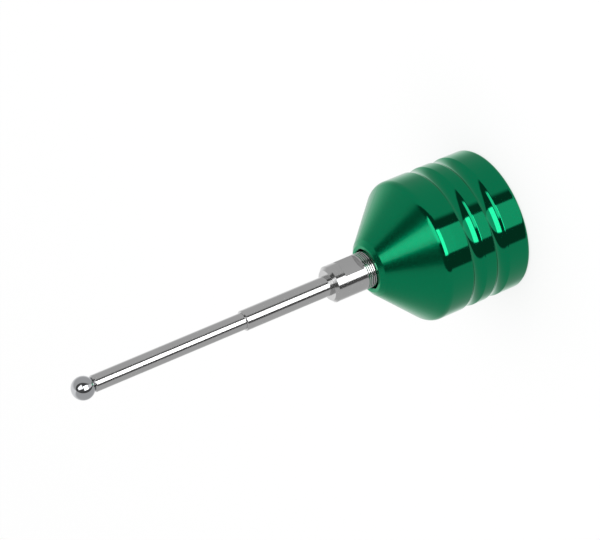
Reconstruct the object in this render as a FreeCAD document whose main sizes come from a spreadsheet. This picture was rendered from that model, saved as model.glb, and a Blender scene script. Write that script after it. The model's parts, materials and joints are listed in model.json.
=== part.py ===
import FreeCAD, Part
import math
import os
import Sketcher

# Edge finder: a spring-centred stylus on a two-axis gimbal in a turned aluminium body.
# Frame: origin in the middle of the flat back face, +Z along the body's axis towards the ball.
# The body stands on its back face. All sizes are in millimetres.

doc = FreeCAD.newDocument("edge_finder")

SIZES = [
    # housing, outside
    ("body_length", 49.7, "back face to nose face"),
    ("cone_length", 15.56, "cone, along the axis"),
    ("nose_length", 1.3, "nose ring, along the axis"),
    ("nose_flare", 1.8, "nose ring, radially"),
    ("nose_land", 1.3, "flat front of the nose, radially"),
    ("mouth_gap", 0.65, "radial gap between the mouth and the stylus holder"),
    ("shoulder_radius", 3.0, "rounding between cone and cylinder"),
    ("back_radius", 1.5, "rounding of the back edge"),
    ("nose_radius", 0.6, "rounding of the nose face's edge"),
    ("mouth_break", 0.3, "chamfer of the mouth"),
    ("groove_width", 5.3, "grip groove at the surface"),
    ("groove_depth", 0.85, "grip groove"),
    ("groove_height", 11.3, "middle of the lower grip groove"),
    ("groove_pitch", 9.5, "from one grip groove to the next"),
    ("groove_edge", 0.4, "rounding of the grip grooves' edges"),
    # housing, inside
    ("lip_length", 3.2, "land of the mouth bore"),
    ("seal_width", 2.85, "counterbore for the front seal, outside the holder"),
    ("seal_depth", 2.0, "its depth"),
    ("cone_wall", 3.6, "wall of the cone, measured square to the axis"),
    ("seat_depth", 15.7, "nose face to the shoulder that the bearing ring rests on"),
    ("shoulder_step", 1.0, "that shoulder, radially"),
    ("lock_step", 0.6, "lock ring's thread outside the bearing ring's bore, radially"),
    ("rim_width", 3.0, "rim round the rear cover"),
    ("seat_gap", 0.03, "radial clearance of pieces that stay put in each other"),
    ("running_gap", 0.03, "radial clearance of what turns or slides"),
    # rear cover
    ("cover_thickness", 3.3, "rear cover"),
    ("cover_recess", 0.3, "rear cover below the back rim"),
    ("shank_bore", 10.2, "core of the M12 thread for the shank"),
    ("boss_wall", 3.0, "boss round the shank thread"),
    ("end_room", 3.8, "between the boss and the spindle, for the spindle's travel"),
    ("screw_count", 4.0, "cover screws"),
    ("screw_diameter", 2.5, "cover screws"),
    ("screw_head", 4.7, "countersunk head"),
    ("screw_length", 8.0, "cover screws, with the head"),
    ("screw_margin", 0.25, "head's edge to the cover's edge"),
    ("screw_wall", 2.8, "screws' middle to the chamber's wall"),
    ("screw_socket", 1.5, "hexagon socket across flats"),
    ("socket_depth", 0.9, "hexagon socket"),
    ("seal_section", 0.94, "section of the cover's O-ring"),
    ("seal_groove_width", 1.2, "its groove"),
    ("spring_seat_depth", 0.5, "recess for the centring spring"),
    # gimbal
    ("bearing_height", 8.0, "bearing ring, with the tilt axes at its middle"),
    ("bearing_wall", 3.0, "bearing ring, radially"),
    ("lock_height", 2.6, "lock ring"),
    ("lock_lip", 0.5, "lock ring inside the bearing ring, radially"),
    ("slot_width", 3.0, "spanner slots of the lock ring"),
    ("slot_depth", 1.4, "spanner slots of the lock ring"),
    ("slot_count", 4.0, "spanner slots of the lock ring"),
    ("gimbal_play", 0.9, "radial gap on each side of the gimbal ring"),
    ("gimbal_wall", 2.1, "gimbal ring, radially"),
    ("gimbal_height", 6.0, "gimbal ring"),
    ("pin_diameter", 2.5, "gimbal pins"),
    ("pin_end_gap", 0.4, "between a pin's end and the edge of its hole"),
    # carrier
    ("carrier_wall", 3.3, "carrier, outside the overtravel spring's well"),
    ("carrier_rise", 3.6, "tilt axes to the carrier's upper end"),
    ("carrier_drop", 12.0, "tilt axes to the carrier's lower end"),
    ("well_drop", 3.0, "tilt axes to the floor of the overtravel spring's well"),
    ("plate_play", 2.6, "between the spring plate and the chamber's wall"),
    ("plate_thickness", 3.0, "spring plate"),
    ("bush_wall", 1.0, "bushes, radially"),
    ("bush_length", 4.0, "bushes"),
    ("guide_pin_diameter", 1.5, "guide pin"),
    ("guide_pin_wall", 0.5, "metal on each side of the guide pin"),
    ("guide_pin_reach", 5.4, "guide pin below the carrier"),
    ("guide_pin_depth", 3.5, "guide pin inside the carrier"),
    # springs
    ("centring_wire", 1.2, "wire of the centring spring"),
    ("centring_turns", 4.0, "its turns"),
    ("centring_inset", 2.2, "its middle to the spring plate's edge"),
    ("overtravel_wire", 0.9, "wire of the overtravel spring"),
    ("overtravel_turns", 4.0, "its turns"),
    ("spring_play", 0.7, "radial gap on each side of the overtravel spring"),
    # spindle
    ("spindle_diameter", 7.0, "sliding part of the spindle"),
    ("spindle_thread", 5.0, "threaded end of the spindle"),
    ("spindle_end", 4.2, "threaded end, length"),
    ("head_height", 7.2, "head of the spindle"),
    ("head_wall", 2.15, "head, outside the holder"),
    ("head_floor", 1.5, "head, below the holder"),
    ("head_play", 0.5, "head to the underside of the seal's seat"),
    ("washer_margin", 0.6, "stop washer, outside the guide pin"),
    ("washer_thickness", 1.2, "stop washer"),
    ("nut_flats", 8.0, "spindle nut, across flats"),
    ("nut_height", 2.6, "spindle nut"),
    # stylus
    ("holder_diameter", 12.7, "stylus holder"),
    ("holder_length", 27.0, "stylus holder"),
    ("holder_chamfer", 1.1, "front edge"),
    ("holder_end_chamfer", 0.6, "lower edge"),
    ("flats_width", 10.0, "spanner flats, across flats"),
    ("flats_inset", 4.7, "front face to the flats"),
    ("flats_length", 7.3, "spanner flats, along the axis"),
    ("flats_azimuth", -48.5, "direction that one flat faces, in degrees from +X"),
    ("rod_insert", 13.3, "rod inside the holder"),
    ("rod_length", 103.1, "rod, with the part inside the holder"),
    ("rod_thick", 7.0, "thick part of the rod"),
    ("rod_step", 0.62, "step to the thin part, radially"),
    ("thin_length", 56.7, "thin part of the rod"),
    ("step_chamfer", 0.25, "edge of the step"),
    ("tip_chamfer", 0.42, "edge of the rod's front end"),
    ("ball_diameter", 8.0, "ball"),
    ("cup_land", 0.35, "flat round the ball's cup, radially"),
    ("ball_gap", 0.01, "between the ball and its cup"),
    # front seal
    ("seal_membrane", 0.4, "thickness of the diaphragm"),
    ("seal_bead", 0.9, "height of its beads"),
    ("bead_width", 0.6, "width of its beads"),
    ("soft_gap", 0.3, "between the diaphragm and what moves in it"),
    ("retainer_width", 0.9, "seal retainer, radially"),
    ("retainer_height", 0.9, "seal retainer"),
]

# What follows from the sizes above.
DERIVED = [
    # along the axis, from the nose backwards
    ("cone_top", "body_length - nose_length"),
    ("cone_foot", "cone_top - cone_length"),
    ("seal_ceiling", "body_length - lip_length"),
    ("seal_floor", "seal_ceiling - seal_depth"),
    ("seat_height", "body_length - seat_depth"),
    ("bearing_low", "seat_height - bearing_height"),
    ("pivot_height", "seat_height - bearing_height / 2"),
    ("carrier_top", "pivot_height + carrier_rise"),
    ("carrier_bottom", "pivot_height - carrier_drop"),
    ("plate_top", "carrier_bottom + plate_thickness"),
    ("well_floor", "pivot_height - well_drop"),
    ("spindle_low", "carrier_bottom - spindle_end"),
    ("washer_low", "carrier_bottom - washer_thickness"),
    ("head_top", "seal_floor - head_play"),
    ("head_low", "head_top - head_height"),
    ("boss_height", "spindle_low - end_room"),
    ("cover_seat", "cover_recess + cover_thickness"),
    # the stylus, from the spindle's head forwards
    ("holder_low", "head_low + head_floor"),
    ("holder_top", "holder_low + holder_length"),
    ("flats_top", "holder_top - flats_inset"),
    ("flats_low", "flats_top - flats_length"),
    ("rod_low", "holder_top - rod_insert"),
    ("rod_top", "rod_low + rod_length"),
    ("step_height", "rod_top - thin_length"),
    ("rod_thin", "rod_thick - 2 * rod_step"),
    ("cup_radius", "rod_thin / 2 - tip_chamfer - cup_land"),
    ("ball_height", "rod_top + sqrt(ball_diameter ^ 2 / 4 - cup_radius ^ 2)"),
    # diameters of the nose, from the holder outwards
    ("mouth_diameter", "holder_diameter + 2 * mouth_gap"),
    ("nose_diameter", "mouth_diameter + 2 * nose_land"),
    ("cone_top_diameter", "nose_diameter + 2 * nose_flare"),
    ("seal_bore", "holder_diameter + 2 * seal_width"),
    ("head_diameter", "holder_diameter + 2 * head_wall"),
    # diameters from the spindle outwards to the body
    ("bush_diameter", "spindle_diameter + 2 * bush_wall"),
    ("overtravel_radius", "spindle_diameter / 2 + spring_play + overtravel_wire / 2"),
    ("spring_well", "2 * overtravel_radius + overtravel_wire + 2 * spring_play"),
    ("carrier_diameter", "spring_well + 2 * carrier_wall"),
    ("gimbal_bore", "carrier_diameter + 2 * gimbal_play"),
    ("gimbal_outer", "gimbal_bore + 2 * gimbal_wall"),
    ("bearing_bore", "gimbal_outer + 2 * gimbal_play"),
    ("lock_bore", "bearing_bore - 2 * lock_lip"),
    ("bearing_diameter", "bearing_bore + 2 * bearing_wall"),
    ("front_chamber", "bearing_diameter - 2 * shoulder_step"),
    ("chamber_diameter", "bearing_diameter + 2 * lock_step"),
    ("screw_circle", "chamber_diameter + 2 * screw_wall"),
    ("cover_diameter", "screw_circle + screw_head + 2 * screw_margin"),
    ("body_diameter", "cover_diameter + 2 * rim_width"),
    ("plate_diameter", "chamber_diameter - 2 * plate_play"),
    ("centring_radius", "plate_diameter / 2 - centring_inset"),
    # the carrier's tail and what sits on it
    ("guide_pin_radius", "(bush_diameter + guide_pin_diameter) / 2 + guide_pin_wall"),
    ("tail_diameter", "2 * guide_pin_radius + guide_pin_diameter + 2 * guide_pin_wall"),
    ("washer_diameter", "2 * guide_pin_radius + guide_pin_diameter + 2 * washer_margin"),
    ("boss_diameter", "shank_bore + 2 * boss_wall"),
    # shapes that need a little geometry
    ("cone_slope", "(body_diameter - cone_top_diameter) / 2 / cone_length"),
    ("inner_cone_top", "body_diameter / 2 - (seal_floor - cone_foot) * cone_slope - cone_wall"),
    ("inner_cone_foot", "cone_foot + (body_diameter / 2 - cone_wall - front_chamber / 2) / cone_slope"),
    ("groove_radius", "(groove_width ^ 2 / 4 + groove_depth ^ 2) / (2 * groove_depth)"),
    ("spring_seat_inner", "centring_radius - centring_wire / 2 - seat_gap"),
    ("spring_seat_outer", "centring_radius + centring_wire / 2 + seat_gap"),
]

sheet = doc.addObject("Spreadsheet::Sheet", "Sizes")
for row, (alias, value, note) in enumerate(SIZES, start=1):
    sheet.set("A%d" % row, alias)
    sheet.set("B%d" % row, str(value))
    sheet.set("C%d" % row, note)
    sheet.setAlias("B%d" % row, alias)
for row, (alias, formula) in enumerate(DERIVED, start=len(SIZES) + 1):
    sheet.set("A%d" % row, alias)
    sheet.set("B%d" % row, "=" + formula)
    sheet.setAlias("B%d" % row, alias)
doc.recompute()

CUT_OVERRUN = 2.0   # how far a cutting profile runs past the surface that it cuts


# ---------------------------------------------------------------- helpers

def new_body(label):
    body = doc.addObject("PartDesign::Body", label)
    body.Label = label
    return body


def origin_feature(body, role):
    return next(item for item in body.Origin.OriginFeatures if item.Role == role)


def new_sketch(body, name, role="XZ_Plane"):
    sketch = body.newObject("Sketcher::SketchObject", body.Name + "_" + name)
    sketch.AttachmentSupport = [(origin_feature(body, role), "")]
    sketch.MapMode = "FlatFace"
    return sketch


def bind(sketch, constraint, name, expression):
    """Adds a driving constraint whose value comes from the sheet."""
    index = sketch.addConstraint(constraint)
    sketch.renameConstraint(index, name)
    sketch.setExpression("Constraints." + name, expression)


def outline(sketch, corners):
    """A closed outline of straight lines; each corner is a pair of expressions."""
    values = [(sketch.evalExpression(x), sketch.evalExpression(y)) for x, y in corners]
    points = [FreeCAD.Vector(x, y, 0) for x, y in values]
    first = sketch.GeometryCount
    count = len(points)
    for i in range(count):
        sketch.addGeometry(Part.LineSegment(points[i], points[(i + 1) % count]), False)
    for i in range(count):
        sketch.addConstraint(Sketcher.Constraint("Coincident", first + i, 2, first + (i + 1) % count, 1))
    for i in range(count):
        line = first + i
        x, y = values[i]
        tag = "%d" % line
        bind(sketch, Sketcher.Constraint("DistanceX", -1, 1, line, 1, x), "across" + tag, corners[i][0])
        bind(sketch, Sketcher.Constraint("DistanceY", -1, 1, line, 1, y), "along" + tag, corners[i][1])


def circle(sketch, x_expression, y_expression, radius_expression):
    x, y, radius = [sketch.evalExpression(e) for e in (x_expression, y_expression, radius_expression)]
    index = sketch.addGeometry(Part.Circle(FreeCAD.Vector(x, y, 0), FreeCAD.Vector(0, 0, 1), radius), False)
    tag = "%d" % index
    bind(sketch, Sketcher.Constraint("DistanceX", -1, 1, index, 3, x), "across" + tag, x_expression)
    bind(sketch, Sketcher.Constraint("DistanceY", -1, 1, index, 3, y), "along" + tag, y_expression)
    bind(sketch, Sketcher.Constraint("Radius", index, radius), "radius" + tag, radius_expression)


def rectangle(sketch, x_low, x_high, y_low, y_high):
    outline(sketch, [(x_low, y_low), (x_high, y_low), (x_high, y_high), (x_low, y_high)])


def turn(body, name, corners):
    """Revolves an outline, given as (radius, height) pairs, about the Z axis."""
    sketch = new_sketch(body, name + "_profile")
    outline(sketch, corners)
    revolution = body.newObject("PartDesign::Revolution", body.Name + "_" + name)
    revolution.Profile = sketch
    revolution.ReferenceAxis = (sketch, ["V_Axis"])
    revolution.Angle = 360
    doc.recompute()
    return revolution


def groove(body, name, draw):
    """Cuts a turned groove; draw adds the profile to the sketch."""
    before = body.Shape.Volume
    sketch = new_sketch(body, name + "_profile")
    draw(sketch)
    cut = body.newObject("PartDesign::Groove", body.Name + "_" + name)
    cut.Profile = sketch
    cut.ReferenceAxis = (sketch, ["V_Axis"])
    cut.Angle = 360
    doc.recompute()
    must_shrink(body, before, name)
    return cut


def pocket(body, name, draw, role, symmetric=True, reversed_cut=False):
    """Cuts a straight pocket all the way through, both ways or one way from the sketch plane."""
    before = body.Shape.Volume
    sketch = new_sketch(body, name + "_profile", role)
    draw(sketch)
    cut = body.newObject("PartDesign::Pocket", body.Name + "_" + name)
    cut.Profile = sketch
    cut.Type = "ThroughAll"
    cut.SideType = "Symmetric" if symmetric else "One side"
    cut.Reversed = reversed_cut
    doc.recompute()
    must_shrink(body, before, name)
    return cut


def must_shrink(body, before, name):
    if not body.Shape.Volume < before - 1e-6:
        raise RuntimeError("%s cut nothing from %s" % (name, body.Label))


def ring_edges(feature, radius, height):
    """Names of the circular edges about the Z axis with this radius at this height."""
    names = []
    for index, edge in enumerate(feature.Shape.Edges, start=1):
        curve = edge.Curve
        if not isinstance(curve, Part.Circle):
            continue
        centre = curve.Center
        if abs(curve.Radius - radius) < 1e-3 and abs(centre.z - height) < 1e-3 and math.hypot(centre.x, centre.y) < 1e-3:
            names.append("Edge%d" % index)
    if not names:
        raise RuntimeError("no edge of radius %.3f at height %.3f" % (radius, height))
    return names


def dress(body, kind, base, edges, size_property, expression):
    """A Fillet or Chamfer on named edges of the last feature."""
    feature = body.newObject("PartDesign::" + kind, body.Name + "_" + kind)
    feature.Base = (base, edges)
    feature.setExpression(size_property, expression)
    doc.recompute()
    return feature


def polar(body, feature, count_expression):
    pattern = body.newObject("PartDesign::PolarPattern", feature.Name + "_copies")
    pattern.Originals = [feature]
    pattern.Axis = (origin_feature(body, "Z_Axis"), [""])
    pattern.Angle = 360
    pattern.setExpression("Occurrences", count_expression)
    body.Tip = pattern
    doc.recompute()
    return pattern


def cylinder_pin(label, direction, start_expression, length_expression, height_expression):
    """A plain pin that lies along X or Y, from start outwards."""
    pin = doc.addObject("Part::Cylinder", label)
    pin.Label = label
    pin.setExpression("Radius", "Sizes.pin_diameter / 2")
    pin.setExpression("Height", length_expression)
    pin.Placement = FreeCAD.Placement(
        FreeCAD.Vector(0, 0, 0), FreeCAD.Rotation(FreeCAD.Vector(0, 0, 1), direction))
    axis = "x" if abs(direction.x) > abs(direction.y) else "y"
    sign = "" if direction.x + direction.y > 0 else "-"
    pin.setExpression("Placement.Base." + axis, sign + "(" + start_expression + ")")
    pin.setExpression("Placement.Base.z", height_expression)
    return pin


def coil(label, radius, wire, turns, low_expression, high_expression):
    """A coil spring of round wire with flat end turns, made of half turns that climb in tilted planes."""
    low = sheet.evalExpression(low_expression) + wire / 2
    high = sheet.evalExpression(high_expression) - wire / 2
    halves = round(2 * turns)
    rise = (high - low) / (halves - 2)   # the first and the last half turn lie flat
    arcs = []
    height = low
    for index in range(halves):
        side = 1 if index % 2 == 0 else -1
        climb = rise if 0 < index < halves - 1 else 0
        reach = math.hypot(radius, climb / 2)
        start = FreeCAD.Vector(side * radius, 0, height)
        middle = FreeCAD.Vector(0, side * reach, height + climb / 2)
        height += climb
        arcs.append(Part.Arc(start, middle, FreeCAD.Vector(-side * radius, 0, height)).toShape())
    section = Part.makeCircle(wire / 2, FreeCAD.Vector(radius, 0, low), FreeCAD.Vector(0, 1, 0))
    spring = doc.addObject("Part::Feature", label)
    spring.Label = label
    spring.Shape = Part.Wire(arcs).makePipeShell([Part.Wire(section)], True, False)
    return spring


BODY_RADIUS = "Sizes.body_diameter / 2"
PIN_HOLE = "Sizes.pin_diameter / 2"


# ---------------------------------------------------------------- housing and what closes it

def make_housing():
    body = new_body("housing")
    shell = turn(body, "shell", [
        ("Sizes.cover_diameter / 2 + Sizes.seat_gap", "0"),
        (BODY_RADIUS, "0"),
        (BODY_RADIUS, "Sizes.cone_foot"),
        ("Sizes.cone_top_diameter / 2", "Sizes.cone_top"),
        ("Sizes.nose_diameter / 2", "Sizes.body_length"),
        ("Sizes.mouth_diameter / 2", "Sizes.body_length"),
        ("Sizes.mouth_diameter / 2", "Sizes.seal_ceiling"),
        ("Sizes.seal_bore / 2", "Sizes.seal_ceiling"),
        ("Sizes.seal_bore / 2", "Sizes.seal_floor"),
        ("Sizes.inner_cone_top", "Sizes.seal_floor"),
        ("Sizes.front_chamber / 2", "Sizes.inner_cone_foot"),
        ("Sizes.front_chamber / 2", "Sizes.seat_height"),
        ("Sizes.bearing_diameter / 2 + Sizes.seat_gap", "Sizes.seat_height"),
        ("Sizes.bearing_diameter / 2 + Sizes.seat_gap", "Sizes.bearing_low"),
        ("Sizes.chamber_diameter / 2", "Sizes.bearing_low"),
        ("Sizes.chamber_diameter / 2", "Sizes.cover_seat"),
        ("Sizes.cover_diameter / 2 + Sizes.seat_gap", "Sizes.cover_seat"),
    ])
    radius = sheet.body_diameter / 2
    shoulder = dress(body, "Fillet", shell, ring_edges(shell, radius, sheet.cone_foot),
                     "Radius", "Sizes.shoulder_radius")
    back = dress(body, "Fillet", shoulder, ring_edges(shoulder, radius, 0), "Radius", "Sizes.back_radius")
    ring = dress(body, "Fillet", back, ring_edges(back, sheet.nose_diameter / 2, sheet.body_length),
                 "Radius", "Sizes.nose_radius")
    dress(body, "Chamfer", ring, ring_edges(ring, sheet.mouth_diameter / 2, sheet.body_length),
          "Size", "Sizes.mouth_break")
    # round-bottomed grip grooves
    for index in range(2):
        height = "Sizes.groove_height + %d * Sizes.groove_pitch" % index
        centre = BODY_RADIUS + " - Sizes.groove_depth + Sizes.groove_radius"
        cut = groove(body, "grip%d" % (index + 1), lambda sketch: circle(sketch, centre, height, "Sizes.groove_radius"))
        middle = sheet.groove_height + index * sheet.groove_pitch
        edges = []
        for side in (-1, 1):
            edges += ring_edges(cut, radius, middle + side * sheet.groove_width / 2)
        dress(body, "Fillet", cut, edges, "Radius", "Sizes.groove_edge")
    # blind holes for the cover screws, drilled from the cover's seat
    before = body.Shape.Volume
    hole = new_sketch(body, "screw_hole_profile")
    rectangle(hole, "Sizes.screw_circle / 2 - Sizes.screw_diameter / 2 - Sizes.seat_gap",
              "Sizes.screw_circle / 2", "0", "Sizes.cover_recess + Sizes.screw_length + Sizes.screw_diameter / 2")
    drill = body.newObject("PartDesign::Groove", "housing_screw_hole")
    drill.Profile = hole
    drill.ReferenceAxis = (hole, ["Edge2"])
    drill.Angle = 360
    doc.recompute()
    must_shrink(body, before, "screw hole")
    polar(body, drill, "Sizes.screw_count")
    return body


def make_rear_cover():
    body = new_body("rear_cover")
    seat_floor = "Sizes.cover_seat - Sizes.spring_seat_depth"
    turn(body, "disc", [
        ("Sizes.shank_bore / 2", "Sizes.cover_recess"),
        ("Sizes.cover_diameter / 2", "Sizes.cover_recess"),
        ("Sizes.cover_diameter / 2", "Sizes.cover_seat"),
        ("Sizes.spring_seat_outer", "Sizes.cover_seat"),
        ("Sizes.spring_seat_outer", seat_floor),
        ("Sizes.spring_seat_inner", seat_floor),
        ("Sizes.spring_seat_inner", "Sizes.cover_seat"),
        ("Sizes.boss_diameter / 2", "Sizes.cover_seat"),
        ("Sizes.boss_diameter / 2", "Sizes.boss_height"),
        ("Sizes.shank_bore / 2", "Sizes.boss_height"),
    ])
    groove_inner = "Sizes.cover_diameter / 2 - Sizes.seal_section - Sizes.seat_gap"
    groove_low = "Sizes.cover_seat - Sizes.seal_groove_width - Sizes.seal_section / 2"
    groove(body, "seal_groove", lambda sketch: rectangle(
        sketch, groove_inner, "Sizes.cover_diameter / 2 + %g" % CUT_OVERRUN,
        groove_low, groove_low + " + Sizes.seal_groove_width"))
    before = body.Shape.Volume
    hole = new_sketch(body, "screw_hole_profile")
    outline(hole, [
        ("Sizes.screw_circle / 2", "0"),
        ("Sizes.screw_circle / 2", "Sizes.boss_height"),
        ("Sizes.screw_circle / 2 - Sizes.screw_diameter / 2 - Sizes.seat_gap", "Sizes.boss_height"),
        ("Sizes.screw_circle / 2 - Sizes.screw_diameter / 2 - Sizes.seat_gap",
         "Sizes.cover_recess + (Sizes.screw_head - Sizes.screw_diameter) / 2"),
        ("Sizes.screw_circle / 2 - Sizes.screw_head / 2 - Sizes.seat_gap", "Sizes.cover_recess"),
        ("Sizes.screw_circle / 2 - Sizes.screw_head / 2 - Sizes.seat_gap", "0"),
    ])
    drill = body.newObject("PartDesign::Groove", "rear_cover_screw_hole")
    drill.Profile = hole
    drill.ReferenceAxis = (hole, ["Edge1"])
    drill.Angle = 360
    doc.recompute()
    must_shrink(body, before, "screw hole")
    polar(body, drill, "Sizes.screw_count")
    return body


def make_cover_screws():
    """Countersunk socket screws: four separate solids in one node."""
    body = new_body("cover_screws")
    body.AllowCompound = True
    profile = new_sketch(body, "profile")
    outline(profile, [
        ("Sizes.screw_circle / 2", "Sizes.cover_recess"),
        ("Sizes.screw_circle / 2 - Sizes.screw_head / 2", "Sizes.cover_recess"),
        ("Sizes.screw_circle / 2 - Sizes.screw_diameter / 2",
         "Sizes.cover_recess + (Sizes.screw_head - Sizes.screw_diameter) / 2"),
        ("Sizes.screw_circle / 2 - Sizes.screw_diameter / 2", "Sizes.cover_recess + Sizes.screw_length"),
        ("Sizes.screw_circle / 2", "Sizes.cover_recess + Sizes.screw_length"),
    ])
    screw = body.newObject("PartDesign::Revolution", "cover_screws_shank")
    screw.Profile = profile
    screw.ReferenceAxis = (profile, ["Edge5"])
    screw.Angle = 360
    doc.recompute()
    before = body.Shape.Volume
    socket = new_sketch(body, "socket_profile", "XY_Plane")
    corner = "Sizes.screw_socket / sqrt(3)"
    outline(socket, [
        ("Sizes.screw_circle / 2 + %s * cos(%d)" % (corner, 60 * k), "%s * sin(%d)" % (corner, 60 * k))
        for k in range(6)])
    cut = body.newObject("PartDesign::Pocket", "cover_screws_socket")
    cut.Profile = socket
    cut.Reversed = True
    cut.setExpression("Length", "Sizes.cover_recess + Sizes.socket_depth")
    doc.recompute()
    must_shrink(body, before, "hexagon socket")
    pattern = body.newObject("PartDesign::PolarPattern", "cover_screws_copies")
    pattern.Originals = [screw, cut]
    pattern.Axis = (origin_feature(body, "Z_Axis"), [""])
    pattern.Angle = 360
    pattern.setExpression("Occurrences", "Sizes.screw_count")
    body.Tip = pattern
    doc.recompute()
    return body


def make_cover_seal():
    seal = doc.addObject("Part::Torus", "cover_seal")
    seal.Label = "cover_seal"
    seal.setExpression("Radius1", "Sizes.cover_diameter / 2 - Sizes.seal_section / 2")
    seal.setExpression("Radius2", "Sizes.seal_section / 2")
    seal.setExpression("Placement.Base.z", "Sizes.cover_seat - Sizes.seal_groove_width / 2 - Sizes.seal_section / 2")
    return seal


# ---------------------------------------------------------------- front seal

def make_front_seal():
    """Rubber diaphragm: two beads and a thin convoluted web between them."""
    body = new_body("front_seal")
    outer = "Sizes.seal_bore / 2 - Sizes.seat_gap"
    inner = "Sizes.holder_diameter / 2 + Sizes.soft_gap"
    top = "Sizes.seal_ceiling"
    low = "Sizes.seal_ceiling - Sizes.seal_bead"
    middle = "(Sizes.seal_bore + Sizes.holder_diameter) / 4 + Sizes.soft_gap / 2"
    web_low = "Sizes.seal_ceiling - Sizes.soft_gap - Sizes.seal_membrane"
    turn(body, "profile", [
        (outer, top),
        (outer + " - Sizes.bead_width", top),
        (outer + " - Sizes.bead_width", "Sizes.seal_ceiling - Sizes.soft_gap"),
        (middle, "Sizes.seal_ceiling - Sizes.soft_gap - Sizes.seal_membrane / 2"),
        (inner + " + Sizes.bead_width", "Sizes.seal_ceiling - Sizes.soft_gap"),
        (inner, "Sizes.seal_ceiling - Sizes.soft_gap"),
        (inner, low),
        (inner + " + Sizes.bead_width", low),
        (inner + " + Sizes.bead_width", web_low),
        (middle, web_low + " - Sizes.seal_membrane / 2"),
        (outer + " - Sizes.bead_width", web_low),
        (outer + " - Sizes.bead_width", low),
        (outer, low),
    ])
    return body


def make_seal_retainer():
    body = new_body("seal_retainer")
    top = "Sizes.seal_ceiling - Sizes.seal_bead"
    turn(body, "profile", [
        ("Sizes.seal_bore / 2 - Sizes.seat_gap - Sizes.retainer_width", top),
        ("Sizes.seal_bore / 2 - Sizes.seat_gap", top),
        ("Sizes.seal_bore / 2 - Sizes.seat_gap", top + " - Sizes.retainer_height"),
        ("Sizes.seal_bore / 2 - Sizes.seat_gap - Sizes.retainer_width", top + " - Sizes.retainer_height"),
    ])
    return body


# ---------------------------------------------------------------- gimbal

def make_bearing_ring():
    body = new_body("bearing_ring")
    turn(body, "profile", [
        ("Sizes.bearing_bore / 2", "Sizes.bearing_low"),
        ("Sizes.bearing_diameter / 2", "Sizes.bearing_low"),
        ("Sizes.bearing_diameter / 2", "Sizes.seat_height"),
        ("Sizes.bearing_bore / 2", "Sizes.seat_height"),
    ])
    pocket(body, "pin_holes", lambda sketch: circle(sketch, "0", "Sizes.pivot_height", PIN_HOLE), "YZ_Plane")
    return body


def make_lock_ring():
    body = new_body("lock_ring")
    low = "Sizes.bearing_low - Sizes.lock_height"
    outer = "Sizes.chamber_diameter / 2 - Sizes.seat_gap"
    turn(body, "profile", [
        ("Sizes.lock_bore / 2", low),
        (outer, low),
        (outer, "Sizes.bearing_low"),
        ("Sizes.lock_bore / 2", "Sizes.bearing_low"),
    ])
    before = body.Shape.Volume
    slot = new_sketch(body, "slot_profile")
    rectangle(slot, "Sizes.lock_bore / 2 - %g" % CUT_OVERRUN, "Sizes.chamber_diameter / 2 + %g" % CUT_OVERRUN,
              low, low + " + Sizes.slot_depth")
    cut = body.newObject("PartDesign::Pocket", "lock_ring_slot")
    cut.Profile = slot
    cut.SideType = "Symmetric"
    cut.setExpression("Length", "Sizes.slot_width")
    doc.recompute()
    must_shrink(body, before, "spanner slot")
    polar(body, cut, "Sizes.slot_count")
    return body


def make_gimbal_ring():
    body = new_body("gimbal_ring")
    turn(body, "profile", [
        ("Sizes.gimbal_bore / 2", "Sizes.pivot_height - Sizes.gimbal_height / 2"),
        ("Sizes.gimbal_outer / 2", "Sizes.pivot_height - Sizes.gimbal_height / 2"),
        ("Sizes.gimbal_outer / 2", "Sizes.pivot_height + Sizes.gimbal_height / 2"),
        ("Sizes.gimbal_bore / 2", "Sizes.pivot_height + Sizes.gimbal_height / 2"),
    ])
    pocket(body, "running_holes", lambda sketch: circle(
        sketch, "0", "Sizes.pivot_height", PIN_HOLE + " + Sizes.running_gap"), "YZ_Plane")
    pocket(body, "tight_holes", lambda sketch: circle(sketch, "0", "Sizes.pivot_height", PIN_HOLE), "XZ_Plane")
    return body


def make_pins():
    """Two pins on X, tight in the bearing ring; two pins on Y, tight in the gimbal ring."""
    pins = []
    for index, sign in enumerate((1, -1), start=1):
        pins.append(cylinder_pin(
            "outer_pin_%d" % index, FreeCAD.Vector(sign, 0, 0),
            "Sizes.gimbal_bore / 2 + Sizes.pin_end_gap",
            "(Sizes.bearing_diameter - Sizes.gimbal_bore) / 2 - 2 * Sizes.pin_end_gap",
            "Sizes.pivot_height"))
        pins.append(cylinder_pin(
            "inner_pin_%d" % index, FreeCAD.Vector(0, sign, 0),
            "Sizes.spring_well / 2 + Sizes.pin_end_gap",
            "(Sizes.gimbal_outer - Sizes.spring_well) / 2 - 2 * Sizes.pin_end_gap",
            "Sizes.pivot_height"))
    return pins


# ---------------------------------------------------------------- carrier

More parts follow.
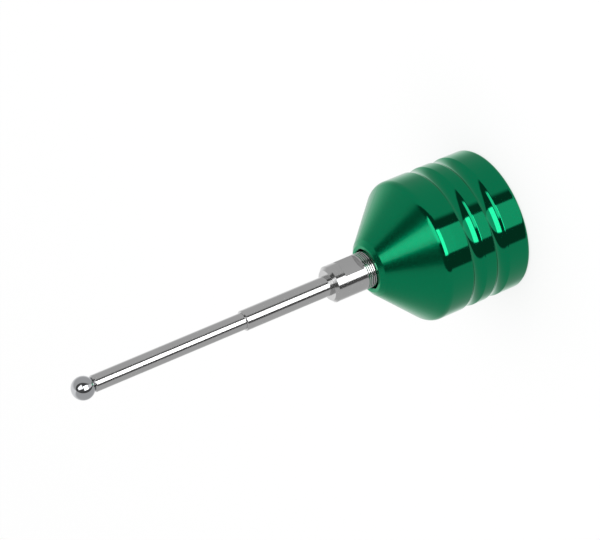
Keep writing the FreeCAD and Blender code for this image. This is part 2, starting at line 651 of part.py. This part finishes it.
def make_carrier():
    body = new_body("carrier")
    turn(body, "profile", [
        ("Sizes.bush_diameter / 2", "Sizes.carrier_bottom"),
        ("Sizes.tail_diameter / 2", "Sizes.carrier_bottom"),
        ("Sizes.tail_diameter / 2", "Sizes.plate_top"),
        ("Sizes.carrier_diameter / 2", "Sizes.plate_top"),
        ("Sizes.carrier_diameter / 2", "Sizes.carrier_top"),
        ("Sizes.spring_well / 2", "Sizes.carrier_top"),
        ("Sizes.spring_well / 2", "Sizes.well_floor"),
        ("Sizes.bush_diameter / 2", "Sizes.well_floor"),
    ])
    pocket(body, "pin_holes", lambda sketch: circle(
        sketch, "0", "Sizes.pivot_height", PIN_HOLE + " + Sizes.running_gap"), "XZ_Plane")
    before = body.Shape.Volume
    hole = new_sketch(body, "guide_hole_profile", "XY_Plane")
    circle(hole, "Sizes.guide_pin_radius", "0", "Sizes.guide_pin_diameter / 2")
    cut = body.newObject("PartDesign::Pocket", "carrier_guide_hole")
    cut.Profile = hole
    cut.Reversed = True
    cut.setExpression("Length", "Sizes.carrier_bottom + Sizes.guide_pin_depth")
    doc.recompute()
    must_shrink(body, before, "guide pin hole")
    return body


def make_spring_plate():
    body = new_body("spring_plate")
    seat_floor = "Sizes.carrier_bottom + Sizes.spring_seat_depth"
    turn(body, "profile", [
        ("Sizes.tail_diameter / 2 + Sizes.seat_gap", "Sizes.carrier_bottom"),
        ("Sizes.spring_seat_inner", "Sizes.carrier_bottom"),
        ("Sizes.spring_seat_inner", seat_floor),
        ("Sizes.spring_seat_outer", seat_floor),
        ("Sizes.spring_seat_outer", "Sizes.carrier_bottom"),
        ("Sizes.plate_diameter / 2", "Sizes.carrier_bottom"),
        ("Sizes.plate_diameter / 2", "Sizes.plate_top"),
        ("Sizes.tail_diameter / 2 + Sizes.seat_gap", "Sizes.plate_top"),
    ])
    return body


def make_bush(label, low_expression):
    body = new_body(label)
    bore = "Sizes.spindle_diameter / 2 + Sizes.running_gap"
    outer = "Sizes.bush_diameter / 2 - Sizes.seat_gap"
    turn(body, "profile", [
        (bore, low_expression),
        (outer, low_expression),
        (outer, low_expression + " + Sizes.bush_length"),
        (bore, low_expression + " + Sizes.bush_length"),
    ])
    return body


def make_guide_pin():
    pin = doc.addObject("Part::Cylinder", "guide_pin")
    pin.Label = "guide_pin"
    pin.setExpression("Radius", "Sizes.guide_pin_diameter / 2")
    pin.setExpression("Height", "Sizes.guide_pin_reach + Sizes.guide_pin_depth")
    pin.setExpression("Placement.Base.x", "Sizes.guide_pin_radius")
    pin.setExpression("Placement.Base.z", "Sizes.carrier_bottom - Sizes.guide_pin_reach")
    return pin


def make_springs():
    centring = coil("centring_spring", sheet.centring_radius, sheet.centring_wire, sheet.centring_turns,
                    "Sizes.cover_seat - Sizes.spring_seat_depth", "Sizes.carrier_bottom + Sizes.spring_seat_depth")
    overtravel = coil("overtravel_spring", sheet.overtravel_radius, sheet.overtravel_wire,
                      sheet.overtravel_turns, "Sizes.well_floor", "Sizes.head_low")
    return [centring, overtravel]


# ---------------------------------------------------------------- spindle

def make_spindle():
    body = new_body("spindle")
    socket = "Sizes.holder_diameter / 2 + Sizes.seat_gap"
    turn(body, "profile", [
        ("0", "Sizes.spindle_low"),
        ("Sizes.spindle_thread / 2", "Sizes.spindle_low"),
        ("Sizes.spindle_thread / 2", "Sizes.carrier_bottom"),
        ("Sizes.spindle_diameter / 2", "Sizes.carrier_bottom"),
        ("Sizes.spindle_diameter / 2", "Sizes.head_low"),
        ("Sizes.head_diameter / 2", "Sizes.head_low"),
        ("Sizes.head_diameter / 2", "Sizes.head_top"),
        (socket, "Sizes.head_top"),
        (socket, "Sizes.holder_low"),
        ("0", "Sizes.holder_low"),
    ])
    return body


def make_stop_washer():
    body = new_body("stop_washer")
    turn(body, "profile", [
        ("Sizes.spindle_thread / 2 + Sizes.seat_gap", "Sizes.washer_low"),
        ("Sizes.washer_diameter / 2", "Sizes.washer_low"),
        ("Sizes.washer_diameter / 2", "Sizes.carrier_bottom"),
        ("Sizes.spindle_thread / 2 + Sizes.seat_gap", "Sizes.carrier_bottom"),
    ])
    pocket(body, "guide_hole", lambda sketch: circle(
        sketch, "Sizes.guide_pin_radius", "0", "Sizes.guide_pin_diameter / 2 + Sizes.running_gap"), "XY_Plane")
    return body


def make_spindle_nut():
    body = new_body("spindle_nut")
    top = "Sizes.washer_low"
    corner = "Sizes.nut_flats / sqrt(3)"
    hexagon = new_sketch(body, "hexagon", "XY_Plane")
    outline(hexagon, [
        ("%s * cos(%d)" % (corner, 60 * k + 30), "%s * sin(%d)" % (corner, 60 * k + 30)) for k in range(6)])
    circle(hexagon, "0", "0", "Sizes.spindle_thread / 2 + Sizes.seat_gap")
    hexagon.setExpression("AttachmentOffset.Base.z", top + " - Sizes.nut_height")
    pad = body.newObject("PartDesign::Pad", "spindle_nut_pad")
    pad.Profile = hexagon
    pad.setExpression("Length", "Sizes.nut_height")
    doc.recompute()
    return body


# ---------------------------------------------------------------- stylus

def make_stylus_holder():
    body = new_body("stylus_holder")
    radius = "Sizes.holder_diameter / 2"
    bore = "Sizes.rod_thick / 2 + Sizes.ball_gap"
    turn(body, "profile", [
        ("0", "Sizes.holder_low"),
        (radius + " - Sizes.holder_end_chamfer", "Sizes.holder_low"),
        (radius, "Sizes.holder_low + Sizes.holder_end_chamfer"),
        (radius, "Sizes.holder_top - Sizes.holder_chamfer"),
        (radius + " - Sizes.holder_chamfer", "Sizes.holder_top"),
        (bore, "Sizes.holder_top"),
        (bore, "Sizes.rod_low"),
        ("0", "Sizes.rod_low"),
    ])
    # spanner flats, cut from both sides and turned to their direction with the whole piece
    for name, side in (("front_flat", 1), ("back_flat", -1)):
        near = "%d * Sizes.flats_width / 2" % side
        far = "%d * (Sizes.holder_diameter / 2 + %g)" % (side, CUT_OVERRUN)
        low, high = (near, far) if side > 0 else (far, near)
        pocket(body, name, lambda sketch: rectangle(
            sketch, low, high, "Sizes.flats_low", "Sizes.flats_top"), "XZ_Plane")
    body.setExpression("Placement.Rotation.Angle", "Sizes.flats_azimuth")
    return body


def make_stylus_rod():
    body = new_body("stylus_rod")
    turn(body, "profile", [
        ("0", "Sizes.rod_low"),
        ("Sizes.rod_thick / 2", "Sizes.rod_low"),
        ("Sizes.rod_thick / 2", "Sizes.step_height - Sizes.step_chamfer"),
        ("Sizes.rod_thick / 2 - Sizes.step_chamfer", "Sizes.step_height"),
        ("Sizes.rod_thin / 2", "Sizes.step_height"),
        ("Sizes.rod_thin / 2", "Sizes.rod_top - Sizes.tip_chamfer"),
        ("Sizes.rod_thin / 2 - Sizes.tip_chamfer", "Sizes.rod_top"),
        ("0", "Sizes.rod_top"),
    ])
    # the cup that the ball sits in
    before = body.Shape.Volume
    cup = body.newObject("PartDesign::SubtractiveSphere", "stylus_rod_cup")
    cup.setExpression("Radius", "Sizes.ball_diameter / 2 + Sizes.ball_gap")
    cup.setExpression("Placement.Base.z", "Sizes.ball_height")
    doc.recompute()
    must_shrink(body, before, "ball cup")
    return body


def make_ball():
    ball = doc.addObject("Part::Sphere", "ball")
    ball.Label = "ball"
    ball.setExpression("Radius", "Sizes.ball_diameter / 2")
    ball.setExpression("Placement.Base.z", "Sizes.ball_height")
    return ball


pieces = [
    make_housing(), make_rear_cover(), make_cover_screws(), make_cover_seal(),
    make_front_seal(), make_seal_retainer(),
    make_bearing_ring(), make_lock_ring(), make_gimbal_ring(),
    make_carrier(), make_spring_plate(),
    make_bush("upper_bush", "(Sizes.well_floor - Sizes.bush_length)"),
    make_bush("lower_bush", "Sizes.carrier_bottom"),
    make_guide_pin(),
    make_spindle(), make_stop_washer(), make_spindle_nut(),
    make_stylus_holder(), make_stylus_rod(), make_ball(),
]
pieces += make_pins()
pieces += make_springs()
doc.recompute()

for item in doc.Objects:
    if "Invalid" in item.State or "Error" in item.State:
        raise RuntimeError("%s failed: %s" % (item.Label, item.State))
for piece in pieces:
    if piece.Shape.isNull() or not piece.Shape.isValid() or not piece.Shape.Solids:
        raise RuntimeError("%s has no valid solid" % piece.Label)

os.makedirs("parts", exist_ok=True)
for piece in pieces:
    piece.Shape.exportStep(os.path.join("parts", piece.Label + ".step"))
    box = piece.Shape.BoundBox
    print("%-18s solids %d  volume %9.2f  z %7.2f to %7.2f  x %7.2f to %7.2f"
          % (piece.Label, len(piece.Shape.Solids), piece.Shape.Volume, box.ZMin, box.ZMax, box.XMin, box.XMax))
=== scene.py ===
import json
import math

import bpy
from mathutils import Matrix, Vector


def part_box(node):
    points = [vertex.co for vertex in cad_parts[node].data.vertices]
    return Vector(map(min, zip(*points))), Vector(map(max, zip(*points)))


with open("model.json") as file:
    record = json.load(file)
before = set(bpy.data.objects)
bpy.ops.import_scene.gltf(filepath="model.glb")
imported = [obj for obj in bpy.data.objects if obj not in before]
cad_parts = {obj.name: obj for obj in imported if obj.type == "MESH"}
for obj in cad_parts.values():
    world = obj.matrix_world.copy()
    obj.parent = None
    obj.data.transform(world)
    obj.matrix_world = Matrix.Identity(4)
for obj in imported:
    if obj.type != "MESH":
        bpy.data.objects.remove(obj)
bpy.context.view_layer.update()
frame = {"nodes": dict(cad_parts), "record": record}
scene = bpy.context.scene
nodes = frame["nodes"]

BALL_HEIGHT = ((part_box("ball")[0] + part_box("ball")[1]) / 2).z
HOUSING_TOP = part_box("housing")[1].z


# ---------------------------------------------------------------- node helpers

class Graph:
    """Short ways of adding shader nodes."""

    def __init__(self, tree):
        self.tree = tree
        tree.nodes.clear()

    def add(self, kind, **settings):
        node = self.tree.nodes.new(kind)
        for key, value in settings.items():
            setattr(node, key, value)
        return node

    def link(self, source, target):
        self.tree.links.new(source, target)

    def math(self, operation, *values, clamp=False):
        node = self.add("ShaderNodeMath", operation=operation, use_clamp=clamp)
        for socket, value in zip(node.inputs, values):
            if isinstance(value, (int, float)):
                socket.default_value = value
            else:
                self.link(value, socket)
        return node.outputs[0]

    def mix(self, factor, first, second):
        node = self.add("ShaderNodeMix", data_type="RGBA")
        for socket, value in ((node.inputs[0], factor), (node.inputs[6], first), (node.inputs[7], second)):
            if isinstance(value, (int, float)):
                socket.default_value = value
            elif isinstance(value, tuple):
                socket.default_value = (*value, 1.0)
            else:
                self.link(value, socket)
        return node.outputs[2]

    def step(self, value, edge, softness):
        """0 below the edge and 1 above it, with a soft change of the given half width."""
        node = self.add("ShaderNodeMapRange", interpolation_type="SMOOTHSTEP")
        self.link(value, node.inputs[0])
        if isinstance(edge, (int, float)):
            node.inputs[1].default_value = edge - softness
            node.inputs[2].default_value = edge + softness
        else:
            self.link(self.math("SUBTRACT", edge, softness), node.inputs[1])
            self.link(self.math("ADD", edge, softness), node.inputs[2])
        node.inputs[3].default_value = 0.0
        node.inputs[4].default_value = 1.0
        return node.outputs[0]

    def band(self, value, low, high, softness):
        return self.math("MULTIPLY", self.step(value, low, softness),
                         self.math("SUBTRACT", 1.0, self.step(value, high, softness)))


# ---------------------------------------------------------------- materials

COAT_ROUGHNESS = 0.05
COAT_IOR = 1.65
CLOUD_SCALE = 90.0          # slow changes in shade, per metre
RING_RELIEF = 0.00001       # height of the turning marks, in metres
GRAIN_RELIEF = 0.00002
BLEND_WIDTH = 0.0004        # over which a coarser stretch fades in


def new_material(name, metallic):
    """A material with one Principled shader; returns it with its graph, shader and object coordinates."""
    material = bpy.data.materials.new(name)
    material.use_nodes = True
    g = Graph(material.node_tree)
    out = g.add("ShaderNodeOutputMaterial")
    shader = g.add("ShaderNodeBsdfPrincipled")
    g.link(shader.outputs[0], out.inputs[0])
    shader.inputs["Metallic"].default_value = metallic
    place = g.add("ShaderNodeTexCoord").outputs["Object"]
    return material, g, shader, place


def shades(color, swing):
    """A darker and a lighter shade of the colour."""
    return tuple(c * (1 - swing) for c in color), tuple(min(1.0, c * (1 + swing)) for c in color)


def turned(name, color, roughness, *, coat=0.0, line_pitch=0.00008, bump=0.15, tint=0.04,
           rough_swing=0.03, bevel=0.00012, rougher=None, thread=None):
    """Metal that was turned about the object's axis: fine rings, with slow changes in shade and gloss.

    rougher is (lowest z, highest z, added roughness, added bump) of a stretch with coarser marks;
    thread is (lowest z, highest z, pitch, depth) of a stretch whose relief shows a screw thread.
    """
    material, g, shader, place = new_material(name, 1.0)
    shader.inputs["Coat Weight"].default_value = coat
    shader.inputs["Coat Roughness"].default_value = COAT_ROUGHNESS
    shader.inputs["Coat IOR"].default_value = COAT_IOR
    split = g.add("ShaderNodeSeparateXYZ")
    g.link(place, split.inputs[0])
    x, y, z = split.outputs
    radius = g.math("SQRT", g.math("ADD", g.math("MULTIPLY", x, x), g.math("MULTIPLY", y, y)))
    # the tool's path runs along the profile, so its marks count along both height and radius
    along = g.math("SUBTRACT", z, radius)
    line = g.add("ShaderNodeCombineXYZ")
    g.link(g.math("DIVIDE", along, line_pitch), line.inputs[0])
    rings = g.add("ShaderNodeTexNoise", noise_dimensions="3D")
    rings.inputs["Scale"].default_value = 1.0
    rings.inputs["Detail"].default_value = 2.0
    rings.inputs["Roughness"].default_value = 0.6
    g.link(line.outputs[0], rings.inputs["Vector"])
    cloud = g.add("ShaderNodeTexNoise", noise_dimensions="3D")
    cloud.inputs["Scale"].default_value = CLOUD_SCALE
    cloud.inputs["Detail"].default_value = 3.0
    g.link(place, cloud.inputs["Vector"])

    shade = g.math("MULTIPLY", g.math("SUBTRACT", cloud.outputs["Fac"], 0.5), tint * 2)
    rings_shade = g.math("MULTIPLY", g.math("SUBTRACT", rings.outputs["Fac"], 0.5), tint * 2)
    factor = g.math("ADD", 0.5, g.math("ADD", shade, rings_shade), clamp=True)
    g.link(g.mix(factor, *shades(color, 0.25)), shader.inputs["Base Color"])
    gloss = g.math("MULTIPLY", g.math("SUBTRACT", rings.outputs["Fac"], 0.5), rough_swing * 2)
    rough = g.math("ADD", roughness, gloss, clamp=True)
    depth = bump
    if rougher:
        low, high, more_rough, more_bump = rougher
        there = g.band(z, low, high, BLEND_WIDTH)
        rough = g.math("ADD", rough, g.math("MULTIPLY", there, more_rough))
        depth = g.math("ADD", bump, g.math("MULTIPLY", there, more_bump))
    g.link(rough, shader.inputs["Roughness"])
    edge = g.add("ShaderNodeBevel", samples=4)
    edge.inputs["Radius"].default_value = bevel
    relief = g.add("ShaderNodeBump")
    relief.inputs["Distance"].default_value = RING_RELIEF
    if rougher:
        g.link(depth, relief.inputs["Strength"])
    else:
        relief.inputs["Strength"].default_value = bump
    g.link(rings.outputs["Fac"], relief.inputs["Height"])
    g.link(edge.outputs[0], relief.inputs["Normal"])
    normal = relief.outputs[0]
    if thread:
        low, high, pitch, height = thread
        turn = g.math("DIVIDE", g.math("ARCTAN2", y, x), 2 * math.pi)
        phase = g.math("SUBTRACT", g.math("DIVIDE", z, pitch), turn)
        flank = g.math("PINGPONG", phase, 0.5)
        cut = g.math("MULTIPLY", flank, g.band(z, low, high, pitch / 4))
        screw = g.add("ShaderNodeBump")
        screw.inputs["Strength"].default_value = 1.0
        screw.inputs["Distance"].default_value = 2 * height
        g.link(cut, screw.inputs["Height"])
        g.link(normal, screw.inputs["Normal"])
        normal = screw.outputs[0]
    g.link(normal, shader.inputs["Normal"])
    return material


def plain(name, color, roughness, *, metallic=1.0, scale=400.0, swing=0.08, bump=0.05):
    """A surface with fine all-over grain."""
    material, g, shader, place = new_material(name, metallic)
    grain = g.add("ShaderNodeTexNoise", noise_dimensions="3D")
    grain.inputs["Scale"].default_value = scale
    grain.inputs["Detail"].default_value = 4.0
    g.link(place, grain.inputs["Vector"])
    g.link(g.mix(grain.outputs["Fac"], *shades(color, swing)), shader.inputs["Base Color"])
    gloss = g.math("MULTIPLY", g.math("SUBTRACT", grain.outputs["Fac"], 0.5), swing)
    g.link(g.math("ADD", roughness, gloss), shader.inputs["Roughness"])
    relief = g.add("ShaderNodeBump")
    relief.inputs["Strength"].default_value = bump
    relief.inputs["Distance"].default_value = GRAIN_RELIEF
    g.link(grain.outputs["Fac"], relief.inputs["Height"])
    g.link(relief.outputs[0], shader.inputs["Normal"])
    return material


CONE_LOW = 0.0335        # where the cone's coarser turning marks start
THREAD_LOW = 0.0383      # the holder's thread, from its hidden rear end
THREAD_TOP = 0.0530      # to where it ends in front of the mouth
THREAD_PITCH = 0.0007
THREAD_DEPTH = 0.00012
GREEN = (0.0, 0.30, 0.125)
FINISHES = {
    "green_anodised": turned("green_anodised", GREEN, 0.06, coat=0.12, line_pitch=0.00012, bump=0.14,
                             tint=0.06, rougher=(CONE_LOW, HOUSING_TOP, 0.16, 0.9)),
    "clear_anodised": turned("clear_anodised", (0.60, 0.61, 0.62), 0.30, line_pitch=0.00015, bump=0.2),
    "stainless": turned("stainless", (0.62, 0.62, 0.62), 0.14, line_pitch=0.00015, bump=0.3, tint=0.22,
                        thread=(THREAD_LOW, THREAD_TOP, THREAD_PITCH, THREAD_DEPTH)),
    "stainless_rod": turned("stainless_rod", (0.64, 0.64, 0.64), 0.13, line_pitch=0.0003, bump=0.2,
                            tint=0.15),
    "polished_ball": plain("polished_ball", (0.60, 0.61, 0.63), 0.05, swing=0.02, bump=0.0),
    "ground_steel": turned("ground_steel", (0.56, 0.56, 0.55), 0.28),
    "pin_steel": plain("pin_steel", (0.62, 0.62, 0.61), 0.18),
    "spring_steel": plain("spring_steel", (0.42, 0.42, 0.41), 0.30),
    "screw_steel": plain("screw_steel", (0.58, 0.58, 0.57), 0.25),
    "bronze": plain("bronze", (0.62, 0.38, 0.17), 0.42, scale=1500.0, swing=0.15, bump=0.2),
    "black_rubber": plain("black_rubber", (0.025, 0.025, 0.025), 0.65, metallic=0.0, scale=900.0,
                          bump=0.3),
}
for part in frame["record"]["subparts"]:
    node = nodes[part["node"]]
    node.data.materials.clear()
    node.data.materials.append(FINISHES[part["material_slot"]])


# ---------------------------------------------------------------- studio

SOFTBOX_LOW = 3.4     # strength of the lower softbox, seen in the shoulder and the grooves
SOFTBOX_HIGH = 1.9    # strength of the upper softbox, seen in the cone
SIDES = 0.50          # strength of the light grey surroundings
FLAGS = 0.08          # strength of the dark boards beside the softboxes
TABLE = 0.85          # strength of the pale table below the lower softbox
BACKDROP = 0.95       # strength of the white backdrop behind the object
# directions, in degrees: round the object from the camera's side towards +X, and above the horizon
LOW_BOX_SIDES = (-27.0, 13.0)
LOW_BOX_HEIGHTS = (-26.5, 14.0)
HIGH_BOX_SIDES = (-6.0, 38.0)
HIGH_BOX_HEIGHTS = (20.0, 64.0)
LEFT_BOARD = (-53.0, LOW_BOX_SIDES[0])


def studio_world():
    """Even light for diffuse surfaces, white to the camera, and a studio with softboxes for what shines."""
    world = bpy.data.worlds.new("studio")
    scene.world = world
    world.use_nodes = True
    world.cycles.sampling_method = "NONE"
    g = Graph(world.node_tree)
    out = g.add("ShaderNodeOutputWorld")
    background = g.add("ShaderNodeBackground")
    g.link(background.outputs[0], out.inputs[0])
    direction = g.add("ShaderNodeSeparateXYZ")
    g.link(g.add("ShaderNodeTexCoord").outputs["Generated"], direction.inputs[0])
    x, y, z = direction.outputs
    around = g.math("DEGREES", g.math("ARCTAN2", x, g.math("MULTIPLY", y, -1.0)))
    height = g.math("DEGREES", g.math("ARCSINE", z))

    def paint(level, mask, strength):
        """level, changed to strength where the mask is 1"""
        return g.math("ADD", g.math("MULTIPLY", level, g.math("SUBTRACT", 1.0, mask)),
                      g.math("MULTIPLY", strength, mask))

    # behind the object: the white backdrop
    behind = g.math("ADD", g.step(around, 135.0, 20.0),
                    g.math("SUBTRACT", 1.0, g.step(around, -150.0, 20.0)), clamp=True)
    level = paint(SIDES, behind, BACKDROP)
    # dark boards: left, right with a slanting edge, and above the lower softbox
    left_board = g.math("MULTIPLY", g.band(around, *LEFT_BOARD, 2.0), g.step(height, -80.0, 10.0))
    level = paint(level, left_board, FLAGS)
    slant = g.math("ADD", 47.0, g.math("MULTIPLY", height, 0.62))
    right_board = g.math("MULTIPLY", g.step(around, LOW_BOX_SIDES[1], 2.0),
                         g.math("SUBTRACT", 1.0, g.step(around, slant, 4.0)))
    level = paint(level, right_board, FLAGS)
    upper_board = g.math("MULTIPLY", g.band(around, *LOW_BOX_SIDES, 2.0), g.step(height, 0.0, 2.0))
    level = paint(level, upper_board, FLAGS)
    table = g.math("MULTIPLY", g.band(around, *LOW_BOX_SIDES, 1.0),
                   g.math("SUBTRACT", 1.0, g.step(height, -26.0, 1.0)))
    level = paint(level, table, TABLE)
    low_box = g.math("MULTIPLY", g.band(around, *LOW_BOX_SIDES, 1.0), g.band(height, *LOW_BOX_HEIGHTS, 1.0))
    level = paint(level, low_box, SOFTBOX_LOW)
    high_box = g.math("MULTIPLY", g.band(around, *HIGH_BOX_SIDES, 3.0),
                      g.band(height, *HIGH_BOX_HEIGHTS, 3.0))
    level = paint(level, high_box, SOFTBOX_HIGH)

    rays = g.add("ShaderNodeLightPath")
    value = g.math("ADD", g.math("MULTIPLY", level, rays.outputs["Is Glossy Ray"]),
                   g.math("SUBTRACT", 1.0, rays.outputs["Is Glossy Ray"]))
    g.link(value, background.inputs["Strength"])
    background.inputs["Color"].default_value = (1.0, 1.0, 1.0, 1.0)


studio_world()

FLOOR_SIZE = 8.0
FLOOR_COLOR = (0.93, 0.93, 0.93, 1.0)
FLOOR_PLAIN = 0.8      # share of plain white that the camera sees; the rest keeps the object's shadow
LAMP_SIZE = 0.7
LAMP_POWER = 2.0
LAMP_PLACE = (0.25, -0.45, 0.9)
LAMP_AIM = (0.0, 0.0, 0.05)


def pale_floor():
    bpy.ops.mesh.primitive_plane_add(size=FLOOR_SIZE, location=(0.0, 0.0, 0.0))
    floor = bpy.context.object
    floor.name = "floor"
    floor.visible_glossy = False
    paper = bpy.data.materials.new("floor_paper")
    paper.use_nodes = True
    g = Graph(paper.node_tree)
    out = g.add("ShaderNodeOutputMaterial")
    shader = g.add("ShaderNodeBsdfPrincipled")
    shader.inputs["Base Color"].default_value = FLOOR_COLOR
    shader.inputs["Roughness"].default_value = 0.9
    white = g.add("ShaderNodeEmission")
    rays = g.add("ShaderNodeLightPath")
    blend = g.add("ShaderNodeMixShader")
    g.link(g.math("MULTIPLY", rays.outputs["Is Camera Ray"], FLOOR_PLAIN), blend.inputs[0])
    g.link(shader.outputs[0], blend.inputs[1])
    g.link(white.outputs[0], blend.inputs[2])
    g.link(blend.outputs[0], out.inputs[0])
    floor.data.materials.append(paper)


def soft_lamp():
    lamp = bpy.data.objects.new("softbox", bpy.data.lights.new("softbox", "AREA"))
    scene.collection.objects.link(lamp)
    lamp.data.shape = "RECTANGLE"
    lamp.data.size = LAMP_SIZE
    lamp.data.size_y = LAMP_SIZE
    lamp.data.energy = LAMP_POWER
    lamp.location = LAMP_PLACE
    lamp.rotation_euler = (Vector(LAMP_AIM) - lamp.location).to_track_quat("-Z", "Y").to_euler()
    lamp.visible_glossy = False


pale_floor()
soft_lamp()


# ---------------------------------------------------------------- camera

FRAME_PX = (600.0, 540.0)
SENSOR_WIDTH = 36.0                 # millimetres
FOCAL_PX = 3000.0                   # focal length, in widths of a pixel of that frame
BALL_PX = (83.08, 388.15)           # where the ball's middle falls in that frame
BALL_DEPTH = 0.956                  # its distance along the view, in metres
AXIS_ANGLE = math.radians(65.24)    # between the view and the object's axis
AXIS_ROLL = math.radians(22.57)     # slope of the axis across the frame


def camera_axes():
    """The object's axes and the ball in the camera's own frame (x right, y down, z forward)."""
    across, down = (BALL_PX[i] - FRAME_PX[i] / 2 for i in (0, 1))
    ball = Vector((across / FOCAL_PX, down / FOCAL_PX, 1.0)) * BALL_DEPTH
    up = -Vector((math.sin(AXIS_ANGLE) * math.cos(AXIS_ROLL),
                  -math.sin(AXIS_ANGLE) * math.sin(AXIS_ROLL), math.cos(AXIS_ANGLE)))
    towards = -ball.normalized()
    front = (towards - towards.dot(up) * up).normalized()
    back = -front
    side = back.cross(up)
    return ball, side, back, up


def place_camera():
    ball, side, back, up = camera_axes()
    to_object = Matrix((side, back, up))
    eye = Vector((0.0, 0.0, BALL_HEIGHT)) - to_object @ ball
    right = to_object @ Vector((1, 0, 0))
    above = to_object @ Vector((0, -1, 0))
    backwards = to_object @ Vector((0, 0, -1))
    camera = bpy.data.objects.new("camera", bpy.data.cameras.new("camera"))
    scene.collection.objects.link(camera)
    matrix = Matrix((right, above, backwards)).transposed().to_4x4()
    matrix.translation = eye
    camera.matrix_world = matrix
    camera.data.sensor_width = SENSOR_WIDTH
    camera.data.lens = FOCAL_PX * SENSOR_WIDTH / FRAME_PX[0]
    camera.data.clip_start = 0.01
    scene.camera = camera


place_camera()
scene.view_settings.view_transform = "Standard"
